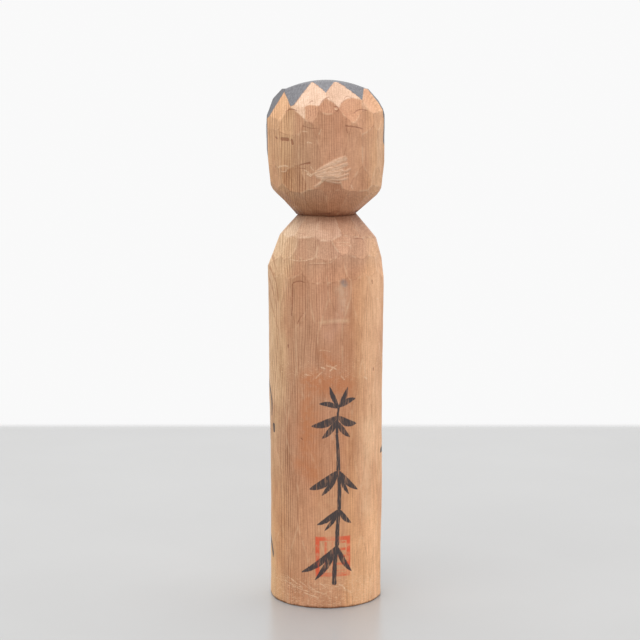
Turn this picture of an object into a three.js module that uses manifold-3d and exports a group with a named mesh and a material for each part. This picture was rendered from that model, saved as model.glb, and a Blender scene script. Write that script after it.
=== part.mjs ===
// Knife-carved kokeshi doll: a turning head on a peg, over a long straight body.
// Millimetres, +Z up, origin in the middle of the foot.
// The plain carved back faces -Y and the painted face looks along +Y.
import * as THREE from 'three';
import { mergeVertices } from 'three/addons/utils/BufferGeometryUtils.js';
import Module from 'manifold-3d';

const wasm = await Module();
wasm.setup();

// ---- Driving dimensions ----
const HEIGHT = 300;        // one shaku, foot to crown
const SEAM_Z = 223.7;      // middle of the joint line at the neck
const SEAM_GAP = 0.3;      // running gap between head and body
const NECK_FLARE_TOP = 230.5; // where the flare of the neck meets the underside of the head

const PEG_RADIUS = 7;
const PEG_IN_BODY = 24;    // depth of the peg below the seam
const PEG_IN_HEAD = 20;    // depth of the peg above the seam
const PEG_GAP = 0.3;       // clearance all round the peg
const PEG_CHAMFER = 1;
const PEG_SIDES = 24;

const BLANK_WIDTH = 84;    // square billet that both pieces are cut from
const CUT_SIZE = 420;      // a block of waste wood, far larger than the doll

// ---- Knife cuts ----
// Each row is one round of flat cuts. Its cuts touch a circle of this radius at this height,
// lean is the tilt of the cut face in degrees: above zero it looks up, below zero down,
// and turn shifts the whole row round the doll by that part of one cut.
const BODY_ROWS = [
  { z: 34, radius: 32.6, lean: -0.4, count: 18, turn: 0.0, drift: 0.22 },
  { z: 104, radius: 32.9, lean: 0.0, count: 18, turn: 0.35, drift: 0.2 },
  { z: 168, radius: 33.3, lean: -0.2, count: 18, turn: 0.7, drift: 0.16 },
  { z: 190, radius: 33.0, lean: 4.5, count: 18, turn: 0.25, drift: 0.1 },
  { z: 199.5, radius: 31.5, lean: 14, count: 18, turn: 0.6, drift: 0.12 },
  { z: 206.5, radius: 29.4, lean: 21, count: 18, turn: 0.1, drift: 0.12 },
  { z: 212.2, radius: 26.6, lean: 33, count: 16, turn: 0.5, drift: 0.15 },
  { z: 218.5, radius: 21.6, lean: 42, count: 16, turn: 0.0, drift: 0.15 },
];

const HEAD_ROWS = [
  { z: 231.6, radius: 24.4, lean: -52, count: 16, turn: 0.0, drift: 0.2 },
  { z: 236.5, radius: 29.2, lean: -31, count: 16, turn: 0.5, drift: 0.2 },
  { z: 243, radius: 31.5, lean: -10, count: 16, turn: 0.2, drift: 0.15 },
  { z: 256, radius: 32.7, lean: -3, count: 16, turn: 0.6, drift: 0.15 },
  { z: 272, radius: 33.4, lean: 0.4, count: 16, turn: 0.1, drift: 0.1 },
  { z: 284, radius: 31.6, lean: 24, count: 16, turn: 0.55, drift: 0.15 },
  { z: 290, radius: 28.6, lean: 38, count: 14, turn: 0.2, drift: 0.15 },
  { z: 294, radius: 24.4, lean: 54, count: 12, turn: 0.6, drift: 0.15 },
  { z: 297.4, radius: 16, lean: 73, count: 10, turn: 0.15, drift: 0.1 },
];

const NECK_FLARE_ROW = [
  { z: 226, radius: 18.9, lean: -39, count: 16, turn: 0.0, drift: 0.1 },
];

const WOOD = new THREE.MeshStandardMaterial({ color: '#cfa27c', roughness: 0.72, metalness: 0 });
const HAIR_PAINT = new THREE.MeshStandardMaterial({ color: '#2b2a2c', roughness: 0.5, metalness: 0 });
const PEG_WOOD = new THREE.MeshStandardMaterial({ color: '#dcc09a', roughness: 0.7, metalness: 0 });

// ---- Helpers ----
function toSolid(geometry) {
  geometry.deleteAttribute('normal');
  geometry.deleteAttribute('uv');
  const merged = mergeVertices(geometry);
  const mesh = new wasm.Mesh({
    numProp: 3,
    vertProperties: new Float32Array(merged.attributes.position.array),
    triVerts: new Uint32Array(merged.index.array),
  });
  return new wasm.Manifold(mesh);
}

function toGeometry(solid) {
  const mesh = solid.getMesh();
  const geometry = new THREE.BufferGeometry();
  geometry.setAttribute('position', new THREE.BufferAttribute(mesh.vertProperties, 3));
  geometry.setIndex(new THREE.BufferAttribute(mesh.triVerts, 1));
  geometry.computeVertexNormals();
  return geometry;
}

// A repeatable hand-made unevenness between -1 and 1.
function unevenness(cut, row) {
  const wave = Math.sin(12.9898 * (cut + 1) + 78.233 * row) * 437.585;
  return 2 * (wave - Math.floor(wave)) - 1;
}

// The waste wood that one flat knife cut takes away.
function waste(azimuth, radius, z, lean) {
  const block = new THREE.BoxGeometry(CUT_SIZE, CUT_SIZE, CUT_SIZE);
  block.translate(CUT_SIZE / 2, 0, 0);
  block.rotateY(-THREE.MathUtils.degToRad(lean));
  block.translate(radius, 0, z);
  block.rotateZ(azimuth);
  return toSolid(block);
}

// Opposite cuts of a row are alike, so the doll stays centred on its axis.
function carve(blank, rows) {
  let solid = blank;
  rows.forEach((row, rowIndex) => {
    const step = (2 * Math.PI) / row.count;
    for (let cut = 0; cut < row.count; cut += 1) {
      const pair = cut % (row.count / 2);
      const swing = row.drift * unevenness(pair, rowIndex);
      const azimuth = (cut + row.turn + swing) * step;
      const radius = row.radius - row.drift * (1 + unevenness(pair, rowIndex + 0.5));
      solid = solid.subtract(waste(azimuth, radius, row.z, row.lean));
    }
  });
  return solid;
}

function billet(bottom, top) {
  const block = new THREE.BoxGeometry(BLANK_WIDTH, BLANK_WIDTH, top - bottom);
  block.translate(0, 0, (bottom + top) / 2);
  return toSolid(block);
}

function uprightCylinder(radius, bottom, top) {
  const rod = new THREE.CylinderGeometry(radius, radius, top - bottom, PEG_SIDES);
  rod.rotateX(Math.PI / 2);
  rod.translate(0, 0, (bottom + top) / 2);
  return toSolid(rod);
}

// ---- Pieces ----
const seamBottom = SEAM_Z - SEAM_GAP / 2;
const seamTop = SEAM_Z + SEAM_GAP / 2;
const pegBottom = SEAM_Z - PEG_IN_BODY;
const pegTop = SEAM_Z + PEG_IN_HEAD;
const socketRadius = PEG_RADIUS + PEG_GAP;

// The body: a straight shaft with sloping shoulders and a blind socket for the peg.
function makeBody() {
  const carved = carve(billet(0, seamBottom), BODY_ROWS);
  const socket = uprightCylinder(socketRadius, pegBottom - PEG_GAP, seamBottom + PEG_CHAMFER);
  return carved.subtract(socket);
}

// The head: a faceted dome on a short flared neck, with the same blind socket from below.
function makeHead() {
  const dome = carve(billet(seamTop, HEIGHT), HEAD_ROWS);
  const flare = carve(billet(seamTop, NECK_FLARE_TOP), NECK_FLARE_ROW);
  const socket = uprightCylinder(socketRadius, seamTop - PEG_CHAMFER, pegTop + PEG_GAP);
  return dome.add(flare).subtract(socket);
}

// The peg: a plain round dowel with chamfered ends, fast in the head and free to turn below.
function makePeg() {
  const profile = [
    new THREE.Vector2(0, pegBottom),
    new THREE.Vector2(PEG_RADIUS - PEG_CHAMFER, pegBottom),
    new THREE.Vector2(PEG_RADIUS, pegBottom + PEG_CHAMFER),
    new THREE.Vector2(PEG_RADIUS, pegTop - PEG_CHAMFER),
    new THREE.Vector2(PEG_RADIUS - PEG_CHAMFER, pegTop),
    new THREE.Vector2(0, pegTop),
  ];
  const rod = new THREE.LatheGeometry(profile, PEG_SIDES);
  rod.rotateX(Math.PI / 2);
  return toSolid(rod);
}

function named(name, solid, material) {
  const mesh = new THREE.Mesh(toGeometry(solid), material);
  mesh.name = name;
  return mesh;
}

const doll = new THREE.Group();
doll.name = 'kokeshi_doll';
doll.add(named('body', makeBody(), WOOD));
doll.add(named('head', makeHead(), HAIR_PAINT));
doll.add(named('neck_dowel', makePeg(), PEG_WOOD));

export default doll;
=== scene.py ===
"""Kokeshi doll: knife-carved wood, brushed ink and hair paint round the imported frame.

Lengths in the carving tables are in millimetres and azimuths in degrees. Azimuth 0 is the middle of
the plain back, which faces -Y, and 90 is +X. Blender objects are in metres.
"""

import math

import bpy
import numpy as np
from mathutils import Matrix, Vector


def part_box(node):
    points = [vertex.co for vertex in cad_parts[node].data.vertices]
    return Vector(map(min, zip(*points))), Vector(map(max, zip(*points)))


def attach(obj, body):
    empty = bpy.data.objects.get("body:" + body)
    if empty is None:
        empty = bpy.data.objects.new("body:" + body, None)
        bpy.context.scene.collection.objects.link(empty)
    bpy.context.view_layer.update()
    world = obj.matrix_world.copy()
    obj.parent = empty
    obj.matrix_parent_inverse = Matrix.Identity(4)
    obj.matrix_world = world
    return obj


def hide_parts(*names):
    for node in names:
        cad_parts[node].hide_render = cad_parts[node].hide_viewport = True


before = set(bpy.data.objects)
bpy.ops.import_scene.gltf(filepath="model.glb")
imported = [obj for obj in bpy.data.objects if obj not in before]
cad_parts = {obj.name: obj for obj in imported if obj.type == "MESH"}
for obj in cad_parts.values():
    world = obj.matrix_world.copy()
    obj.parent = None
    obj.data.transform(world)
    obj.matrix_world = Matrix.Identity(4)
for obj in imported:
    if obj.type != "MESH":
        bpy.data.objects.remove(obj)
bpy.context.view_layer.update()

MM = 0.001
rng = np.random.default_rng(41)

BODY_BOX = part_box("body")
PEG_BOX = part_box("neck_dowel")

BODY_TOP = BODY_BOX[1].z / MM
JOINT_GAP = 0.04           # the head sits this close to the body, mm
HEAD_BOTTOM = BODY_TOP + JOINT_GAP
SOCKET_CLEARANCE = 0.3
SOCKET_RADIUS = PEG_BOX[1].x / MM + SOCKET_CLEARANCE
SOCKET_CHAMFER = 0.7
BODY_SOCKET_FLOOR = PEG_BOX[0].z / MM - SOCKET_CLEARANCE
HEAD_SOCKET_ROOF = PEG_BOX[1].z / MM + SOCKET_CLEARANCE
HEAD_CENTRE = 262.0        # height of the middle of the head
HEAD_RADIUS = 33.0
SHOULDER = (185, 200)      # heights where the long strokes of the shaft give way to short ones

# Height and radius of the rough shape that the knife works down to.
BODY_PROFILE = [
    (-5, 32.3), (0, 32.3), (60, 32.4), (115, 32.8), (160, 33.4), (190, 33.7), (195, 32.9),
    (200, 31.6), (204, 30.5), (209, 28.7), (213, 26.2), (217.7, 22.3), (222.3, 18.6), (224.6, 17.2),
]
HEAD_PROFILE = [
    (222, 16.4), (224.6, 18.2), (227, 19.9), (229, 22.0), (231.4, 24.9), (233.7, 27.4),
    (236, 29.6), (238, 30.9), (240.5, 31.7), (244, 32.4), (251, 33.1), (257, 33.6), (264, 33.9),
    (272, 34.0), (277, 33.8), (281, 33.3), (283.5, 32.6), (286, 31.8), (288, 30.7), (290.3, 29.3),
    (292.6, 27.2), (295, 24.2), (297, 18.0), (298.5, 10.0), (299.4, 1.0),
]


# ---- Knife cuts ----
# A cut is a row of these columns. Its surface touches a circle of radius reach at that height,
# leans back by lean degrees, and rises by along times the square of the distance lengthways and
# across times the square of the distance sideways. Twist turns the stroke in its own plane, pale is
# how much paler the cut looks, as fresh wood and on some facets as painted highlight, or below zero
# how much painted shade darkens it, and painted is 1 where the cut carries hair paint.
AZIMUTH, HEIGHT, REACH, LEAN, ALONG, ACROSS, TWIST, PALE, PAINTED = range(9)
SHAFT_ROUND = -0.009       # how far strokes on the shaft follow its roundness instead of lying flat
SHOULDER_ROUND = -0.004


def cut(*row, painted=0.0):
    """A row with all its columns; those left out are zero."""
    return (*row, *[0.0] * (PAINTED - len(row)), painted)


def radius_at(profile, height):
    return np.interp(height, *zip(*profile))


def scoop(profile, azimuth, height, depth, half_length, twist, painted):
    """A knife stroke that leaves the rough shape half_length above and below its middle."""
    span = 2.0
    rise = radius_at(profile, height + span) - radius_at(profile, height - span)
    lean = math.degrees(math.atan2(-rise, 2 * span))
    reach = radius_at(profile, height) - depth
    return cut(azimuth, height, reach, lean, depth / half_length**2, 0.0, twist, painted=painted)


def knife_round(profile, height, count, depth, half_length, skip=(0, 0), painted=0.0):
    """One round of strokes, each a little different; skip is a range of azimuths left to others."""
    cuts = []
    turn = rng.uniform(0, 1)
    for index in range(count):
        azimuth = (index + turn + rng.uniform(-0.2, 0.2)) * 360 / count - 180
        level = height + rng.uniform(-0.15, 0.15) * half_length
        deep = depth * rng.uniform(0.6, 1.3)
        long = half_length * rng.uniform(0.8, 1.25)
        if not skip[0] < azimuth < skip[1]:
            twist = rng.uniform(-8, 8)
            cuts.append(scoop(profile, azimuth, level, deep, long, twist, painted))
    return cuts


# The strokes that shape the back, read from the middle outwards. Rows as in cut().
BODY_BACK = [
    # steep facets under the neck; their pale values paint highlight on the shoulder tops
    (3, 217, 22.5, 41, 0.001, 0, 0, 0.3), (-29, 217.5, 22.0, 41, 0.002, 0, 0, 0.3),
    (-57, 217, 22.2, 42, 0.001, 0, 0, 0.5), (34, 217, 22.5, 43, 0.002), (62, 217.5, 22.0, 40, 0.001),
    (-88, 217, 21.4, 42), (88, 217, 22.6, 40),
    # shoulder strokes that end in curved ridges
    (-24, 206, 28.9, 21, 0.006, 0.003), (1, 205, 29.7, 19, 0.008, 0.002),
    (20, 208.5, 28.2, 24, 0.012, 0.004), (38, 205, 29.5, 20, 0.004, 0.001),
    (-47, 206, 29.0, 21, 0.004, 0.001), (-68, 206, 28.6, 21, 0.003), (-90, 206, 28.6, 21),
    (59, 206, 29.2, 20, 0.003), (84, 206, 29.6, 18), (-34, 197, 31.6, 9, 0.003),
    (-10, 194, 32.0, 6, 0.004), (10, 195, 31.9, 6, 0.004), (30, 196, 31.7, 8, 0.004),
    (51, 196, 31.8, 8, 0.003), (-58, 196, 32.0, 9, 0.003), (73, 196, 31.8, 8, 0.003),
    (-84, 195, 33.0, 12, 0.003),
    # long strokes down the shaft
    (-27, 177, 32.5, 0.2, 0.0012, 0.008), (-9, 172, 32.8, 0, 0.0004), (14, 180, 32.8, 0.3, 0.0004),
    (37, 172, 32.7, 0, 0.0002), (60, 176, 32.6, 0.2, 0.0003), (87, 172, 33.3, 0, 0.0002),
    (-49, 174, 33.0, 0.2, 0.0003), (-70, 178, 33.3, 0.4, 0.0003), (-90, 172, 34.5, 0.6, 0.0002),
    (4, 142, 32.4, -0.2, 0.0004), (-20, 138, 32.5, 0.1, 0.0003), (-41, 132, 32.5, 0, 0.0002),
    (-64, 138, 32.6, 0.1, 0.0003), (-86, 132, 32.8, 0.2, 0.0002), (28, 134, 32.4, 0, 0.0003),
    (50, 138, 32.4, 0, 0.0002), (75, 132, 32.8, 0, 0.0003), (-8, 98, 32.3, 0.1, 0.0003),
    (-31, 92, 32.3, 0, 0.0002), (-53, 96, 32.4, 0, 0.0003), (-76, 92, 32.7, 0.2, 0.0002),
    (16, 94, 32.2, 0, 0.0003), (40, 92, 32.1, 0, 0.0002), (64, 98, 32.2, 0, 0.0003),
    (87, 94, 32.6, 0.2, 0.0002), (-17, 52, 32.0, 0, 0.0003), (-40, 48, 32.1, 0, 0.0002),
    (-63, 54, 32.1, 0, 0.0003), (-86, 50, 32.0, 0.2, 0.0002), (5, 50, 31.9, 0, 0.0002),
    (29, 48, 31.9, 0, 0.0003), (52, 52, 31.8, 0, 0.0002), (76, 48, 32.2, 0, 0.0003),
    (-7, 14, 31.9, 0.3, 0.0006), (-30, 12, 31.9, 0.3, 0.0005), (-54, 16, 31.9, 0.2, 0.0006),
    (-78, 13, 31.8, 0.3, 0.0005), (17, 13, 31.9, 0.3, 0.0005), (41, 15, 31.8, 0.2, 0.0006),
    (64, 12, 31.9, 0.3, 0.0005), (88, 15, 32.1, 0.3, 0.0006),
]
HEAD_BACK = [
    # under the cheeks, where pale below zero paints shade on facets that face down
    (-88, 231.4, 23.6, -46), (-62, 231.4, 24.0, -45), (-37, 231.4, 24.3, -43), (-13, 231.4, 24.1, -42),
    (11, 231.4, 24.4, -41), (37, 231.4, 24.2, -43), (62, 231.4, 24.6, -46), (88, 231.4, 25.2, -49),
    (-74, 238, 30.2, -26, 0.004), (-50, 239, 30.6, -24, 0.006), (60, 238.5, 30.6, -26, 0.005),
    (84, 238, 30.9, -26, 0.004), (-88, 238, 30.4, -24), (-33, 246, 31.0, -9, 0.004, 0.003, 0, -0.45),
    (-60, 247, 32.0, -7, 0.002), (36, 246, 31.2, -8, 0.004, 0.002, 0, -0.15),
    (3, 243.5, 31.4, -12, 0.005, 0.002, 0, -0.5), (62, 247, 32.2, -7, 0.003), (-88, 249, 32.4, -6),
    (88, 248, 32.6, -6),
    # broad facets round the middle
    (-60, 262, 32.9, -2, 0.0004), (-36, 262, 32.3, -1.5, 0.0005, 0.001),
    (-15.5, 258, 31.7, -2.5, 0.0008, 0.0015), (6, 266, 31.15, 2.5, 0.0004, 0.001),
    (27, 256, 31.7, -2.5, 0.0008, 0.001), (46, 262, 32.3, -1.5, 0.0005), (69, 262, 32.7, -1, 0.0004),
    (-86, 266, 33.4, -1, 0.0002), (90, 266, 33.0, 0, 0.0002),
    # short arched strokes below the crown
    (-36, 276, 31.6, 6, 0.004, 0.006), (-15.5, 281.5, 30.7, 22, -0.008, 0.035, -20),
    (3.5, 285.5, 28.7, 20, 0.008, 0.03), (26.5, 284.5, 28.2, 28, 0.003, 0.02),
    (42, 276, 31.9, 6, 0.004, 0.006), (-60, 278, 32.4, 7, 0.003, 0.002),
    (64, 277, 32.4, 7, 0.003, 0.002),
    # pale chamfers that cut the painted crown into points
    (-57, 288, 28.1, 23, 0, 0.001, 0, 0.05), (-22, 290, 24.9, 42, 0, 0.003, 0, 1),
    (-25, 283, 30.6, 25, 0, 0.001, 0, 0.8), (20.8, 290, 24.9, 41, 0, 0.003, 0, 0.8),
    (36, 283, 31.0, 22, 0, 0.001, 0, 0.2), (60, 290, 26.9, 30, 0, 0.001, 0, 0.1),
]
HEAD_CROWN = [
    (-34, 290, 25.6, 44.8), (-7, 295, 21.0, 54), (33, 292, 24.4, 48.6), (-71, 288, 28.5, 28),
    (84, 290, 27.4, 38), (-96, 293, 25.7, 46), (-95, 284, 31.6, 17), (98, 292, 25.7, 46),
    (94, 283, 31.6, 18), (0, 299.4, 0, 90, -0.003, -0.0095),
]
BACK = (-112, 108)   # the tables above cover these azimuths, and the even rounds stay out of them


def body_cuts():
    cuts = [cut(*row) for row in BODY_BACK]
    for height, count, depth, half_length in [
        (14, 22, 0.3, 40), (48, 21, 0.3, 46), (88, 20, 0.35, 46), (128, 21, 0.35, 46),
        (166, 19, 0.35, 40), (193, 16, 0.4, 12), (204, 16, 0.3, 9), (211, 15, 0.35, 7),
        (218, 15, 0.3, 8),
    ]:
        cuts += knife_round(BODY_PROFILE, height, count, depth, half_length, BACK)
    cuts = np.array(cuts)
    cuts[:, ACROSS] += np.interp(cuts[:, HEIGHT], SHOULDER, [SHAFT_ROUND, SHOULDER_ROUND])
    return cuts


def head_cuts():
    cuts = [cut(*row) for row in HEAD_BACK]
    cuts += [cut(*row, painted=1.0) for row in HEAD_CROWN]
    for height, count, depth, half_length in [
        (231.4, 15, 0.3, 6), (237.5, 15, 0.3, 6), (246, 16, 0.4, 10), (260, 17, 0.4, 15),
        (274, 16, 0.4, 11), (283, 16, 0.3, 7),
    ]:
        cuts += knife_round(HEAD_PROFILE, height, count, depth, half_length, BACK)
    for height, count in [(287.5, 15), (291, 14), (294.5, 11), (297.4, 9)]:
        cuts += knife_round(HEAD_PROFILE, height, count, 0.25, 8, BACK, painted=1.0)
    return np.array(cuts)


def neck_cuts():
    return np.array(knife_round(HEAD_PROFILE, 227, 16, 0.25, 7))


# ---- Where the carved surface lies ----
GRAZING = 0.15     # a ray that meets a cut flatter than this never ends on it
FAR = 90.0         # outside every piece
NUDGE = 0.02       # step for slopes, mm
DEEPEST_FALL = -5.0  # a rounded cut falls away no further than this, mm
WIDEST_CREASE = 3.0  # a point further than this from any crease counts as this far, mm


def cut_distances(azimuth, start, flat, climb, cuts):
    """How far rays run before each cut: they start on the axis at height start and go out at azimuth."""
    lean = np.radians(cuts[..., LEAN])
    turn = azimuth - np.radians(cuts[..., AZIMUTH])
    height, reach = cuts[..., HEIGHT], cuts[..., REACH]
    facing = np.cos(lean) * flat * np.cos(turn) + np.sin(lean) * climb
    usable = facing > GRAZING
    facing = np.where(usable, facing, 1.0)
    gap = np.cos(lean) * reach + np.sin(lean) * (height - start)
    aside_rate = flat * np.sin(turn)
    ahead_rate = np.cos(lean) * climb - np.sin(lean) * flat * np.cos(turn)
    ahead_start = np.cos(lean) * (start - height) + np.sin(lean) * reach
    twist = np.radians(cuts[..., TWIST])
    cosine, sine = np.cos(twist), np.sin(twist)
    distance = gap / facing
    for _ in range(4):
        aside = distance * aside_rate
        ahead = ahead_start + distance * ahead_rate
        rise = cuts[..., ACROSS] * (aside * cosine - ahead * sine)**2
        rise = rise + cuts[..., ALONG] * (ahead * cosine + aside * sine)**2
        rise = np.maximum(rise, DEEPEST_FALL)
        distance = np.clip((gap + rise) / facing, -FAR, FAR)
    return np.where(usable & (distance > 0), distance, FAR)


def body_ray(level):
    """Level is the height: rays are horizontal."""
    return level, np.ones_like(level), np.zeros_like(level)


def head_ray(level):
    """Level is the angle up from straight down, about the middle of the head."""
    return np.full_like(level, HEAD_CENTRE), np.sin(level), -np.cos(level)


def two_nearest(azimuth, level, ray, cuts):
    start, flat, climb = (part[:, None] for part in ray(level))
    distance = cut_distances(azimuth[:, None], start, flat, climb, cuts[None])
    pair = np.argpartition(distance, 1, axis=1)[:, :2]
    return np.take_along_axis(distance, pair, 1), pair, distance


def carve(azimuth, level, ray, cuts, level_scale, spacing):
    """Carves rays, after sliding those that end near a crease onto it.

    Gives where they went, how far they run, the cut each ends on, its distance to the nearest
    crease, whether it lies on one, and how far it runs to every cut.
    """
    near, pair, _ = two_nearest(azimuth, level, ray, cuts)

    def difference(at_azimuth, at_level):
        start, flat, climb = (part[:, None] for part in ray(at_level))
        both = cut_distances(at_azimuth[:, None], start, flat, climb, cuts[pair])
        return both[:, 1] - both[:, 0]

    wide = near.min(1) * ray(level)[1] + 1e-6
    tall = near.min(1) if level_scale is None else np.full_like(wide, level_scale)
    here = difference(azimuth, level)
    across = (difference(azimuth + NUDGE / wide, level) - here) / NUDGE
    upward = (difference(azimuth, level + NUDGE / tall) - here) / NUDGE
    steep = across**2 + upward**2 + 1e-9
    slide_across = -here * across / steep
    slide_upward = -here * upward / steep
    cells = np.abs(slide_across) / (spacing[0] * wide) + np.abs(slide_upward) / (spacing[1] * tall)
    close = cells < 0.5
    azimuth = azimuth + np.where(close, slide_across / wide, 0)
    level = level + np.where(close, slide_upward / tall, 0)
    near, pair, every = two_nearest(azimuth, level, ray, cuts)
    crease = np.where(close, 0, np.abs(here) / np.sqrt(steep))
    first = np.take_along_axis(pair, near.argmin(1)[:, None], 1)[:, 0]
    return azimuth, level, near.min(1), first, np.minimum(crease, WIDEST_CREASE), close, every


def points_on(azimuth, level, distance, ray):
    start, flat, climb = ray(level)
    out = distance * flat
    return np.stack([out * np.sin(azimuth), -out * np.cos(azimuth), start + distance * climb], -1)


# ---- Brush strokes and marks ----
# A stroke is a row: start across, start height, end across, end height, bend, first half-width,
# last half-width, leaf. Places are in mm on the surface unrolled at UNROLLED, 0 across being the
# middle of the back or of the face. Bend bows the stroke to its left, and leaf 1 points both ends.
UNROLLED = 32.4

# A bamboo sprig in ink on the back: the stem in joints, and leaves that spring from its nodes.
SPRIG_STEM = [
    (4.8, 15, 6.2, 36, 0.4, 1.35, 1.1), (6.4, 37.6, 7.6, 57, 0.3, 1.2, 1.0),
    (7.6, 58.8, 7.2, 79.5, -0.3, 1.15, 0.95), (7.0, 81.2, 6.2, 101, -0.3, 1.15, 0.85),
    (6.2, 102.6, 7.4, 118, 0.3, 0.9, 0.5),
]
SPRIG_LEAVES = [
    (7.2, 117, 2.0, 129, 0.6, 1.5, 1.1, 1), (7.4, 117.5, 12.5, 128.5, -0.6, 1.6, 1.2, 1),
    (7.6, 117, 17.5, 121.5, 1.0, 1.8, 1.5, 1), (6.9, 116.5, -4.0, 119, -1.0, 1.7, 1.3, 1),
    (6.6, 112, -8.5, 106, 1.4, 2.4, 1.9, 1), (6.4, 110, -2.5, 99, 0.9, 1.8, 1.5, 1),
    (6.8, 112, 18.2, 107, -1.6, 2.3, 2.0, 1), (6.6, 109, 14.0, 99.5, -0.9, 1.7, 1.4, 1),
    (6.8, 80.5, -9.8, 69.5, 1.6, 2.7, 2.3, 1), (6.6, 79, -2.6, 66, 0.8, 1.6, 1.4, 1),
    (7.4, 80.5, 19.4, 68.5, -1.2, 1.9, 1.6, 1), (7.4, 79, 13.5, 66.5, -0.6, 1.3, 1.2, 1),
    (7.2, 58, -5.2, 49, 1.0, 1.7, 1.5, 1), (7.4, 57, -1.0, 45.5, 0.6, 1.3, 1.0, 1),
    (7.8, 58, 15.0, 49.5, -0.9, 1.6, 1.5, 1), (6.2, 36.8, -14.8, 20.5, 1.8, 2.1, 1.7, 1),
    (6.0, 36, -6.5, 16.5, 1.0, 1.9, 1.5, 1), (6.4, 36.8, 15.5, 21, -1.2, 1.8, 1.5, 1),
]
# Leaves on the face side. The tips of the longest ones reach round to where the back sees them.
FACE_SIDE_LEAVES = [
    (0, 130, 2, 22, 0.9, 0.9, 1.5), (0.6, 92, 54, 127.5, 8.5, 3.4, 2.0, 0.5),
    (53, 127.4, 61.2, 109, 3.5, 1.5, 0.9), (64.4, 103.2, 64.8, 99.8, 0, 1.2, 0.9),
    (1.2, 50, 60.6, 25, 9.0, 3.2, 2.6, 0.1), (0.8, 68, -59.4, 87, -8.0, 2.8, 2.9, 0.3),
    (0.4, 84, -42, 116, -7.0, 3.0, 2.4, 1), (1.2, 42, -44, 31, -7.0, 2.8, 2.4, 1),
    (0.8, 64, 36, 76, 5.0, 2.6, 2.2, 1), (1.2, 33, -22, 12, -2.4, 2.0, 1.8, 1),
    (1.4, 33, 25, 12, 2.4, 2.0, 1.8, 1), (0, 112, 17, 127, 2.4, 1.8, 1.6, 1),
    (0, 112, -18, 124, -2.4, 1.8, 1.6, 1),
]
FLOWER_CENTRE = (-1.0, 148.0)
FLOWER_PETALS = 9
# One side of the face: brow, upper lid, pupil and lower lid.
EYE = [
    (16.5, 267.5, 6.5, 268.5, -1.9, 0.5, 0.9), (15.5, 260.6, 6.5, 260.6, -1.7, 0.35, 0.6),
    (10.8, 261.4, 10.8, 260.4, 0, 1.15, 1.05), (13.6, 259.3, 7.8, 259.4, 0.5, 0.22, 0.22),
]
OTHER_EYE = [(-start, low, -end, high, -bend, *widths) for start, low, end, high, bend, *widths in EYE]
NOSE = [(-0.9, 262.5, -1.9, 255.4, 0.5, 0.2, 0.38), (-1.9, 255.2, 1.5, 255.2, -0.8, 0.4, 0.28)]
LIPS = [(-2.8, 249.8, 0, 249.9, 0.5, 0.9, 0.9, 0.7), (0, 249.9, 2.8, 249.8, 0.5, 0.9, 0.9, 0.7),
        (-1.9, 248.9, 1.9, 248.9, -0.6, 0.8, 0.8, 1)]

# Stop cuts, flecks and knots, which show brown, and scratches and torn fibres, which show pale.
HEAD_DARK = [
    (-13, 274.3, -4.3, 272.9, -0.5, 0.2, 0.05), (11.3, 274.2, 21.5, 272.6, 0.3, 0.35, 0.25),
    (-15.5, 252.6, -9.5, 253.9, 0.2, 0.15, 0.55), (-18.8, 250.4, -12.5, 250.7, 0.4, 0.0, 0.25),
    (12.2, 281.2, 12, 270.5, -0.8, 0.0, 0.2), (-32.7, 267.5, -31.3, 267.1, 0, 0.6, 0.5),
    (-27, 266.9, -22.9, 266.6, 0, 0.95, 1.0), (-20.3, 266.3, -19.7, 264.5, 0, 0.8, 0.8),
    (-41, 225.2, -36.5, 225.6, 0, 0.7, 0.5), (35, 225.6, 41, 225.1, 0, 0.5, 0.7),
    (-8, 224.8, 4, 225.2, 0, 0.3, 0.35), (-26, 281.8, -18, 282.6, 1.0, 0.2, 0.25),
    (5.2, 284.6, 7.2, 283.2, 0.9, 0.35, 0.3), (7.2, 283.2, 5.4, 282.6, 0.5, 0.3, 0.25),
    (17.5, 281.3, 26, 282.4, 1.2, 0.18, 0.25), (-11.5, 286.5, -8.8, 287.8, 0.4, 0.15, 0.3),
    (2, 290, -3, 287.4, -0.4, 0.18, 0.2), (13.2, 289.2, 18.5, 289.3, 1.0, 0.15, 0.22),
]
HEAD_PALE = [
    (-12.4, 249.8, -9.2, 247.6, 0.4, 0.2, 0.4), (-8.8, 251.8, -6.6, 249.6, -0.3, 0.25, 0.1),
    (-28, 248.8, -24.5, 249.4, -0.4, 0.2, 0.35), (-31, 250.9, -23.5, 251.9, 0.5, 0.3, 0.4),
    (-11, 248, -9, 246.8, 0, 0.5, 0.35), (-8.9, 246.9, -6.2, 248.5, 0.2, 0.5, 0.3),
    (-3.7, 243, -1.2, 244.4, 0, 0.55, 0.5),
    (-10.8, 265.2, -8.2, 264.8, 0.2, 0.35, 0.2), (5.5, 283.6, 6.2, 283.5, 0, 0.45, 0.35),
    (-13, 271.4, -11, 271.2, 0, 0.3, 0.2), (15, 241.5, 16, 239.6, 0, 0.35, 0.3),
    (-4, 269.8, -3, 272.4, 0, 0.2, 0.15),
]
TORN_FIBRES = [
    (-4.6, 248, 10.5, 256.2, 0.9, 2.0, 1.5), (-4, 247.2, 11.5, 253.2, 0.3, 1.9, 1.1),
    (-4, 246.8, 9, 249.8, -0.3, 1.6, 1.2), (-3, 246.2, 14, 250.6, -0.9, 1.1, 0.5),
    (-2, 245.4, 12.6, 247.9, -0.6, 1.1, 0.55), (-4.6, 246.2, 12.4, 245.4, -1.0, 0.8, 0.5),
    (0, 244.4, 8, 243, -0.3, 0.5, 0.25), (-6.4, 241, -3.5, 243, 0, 0.4, 0.5),
]
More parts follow.
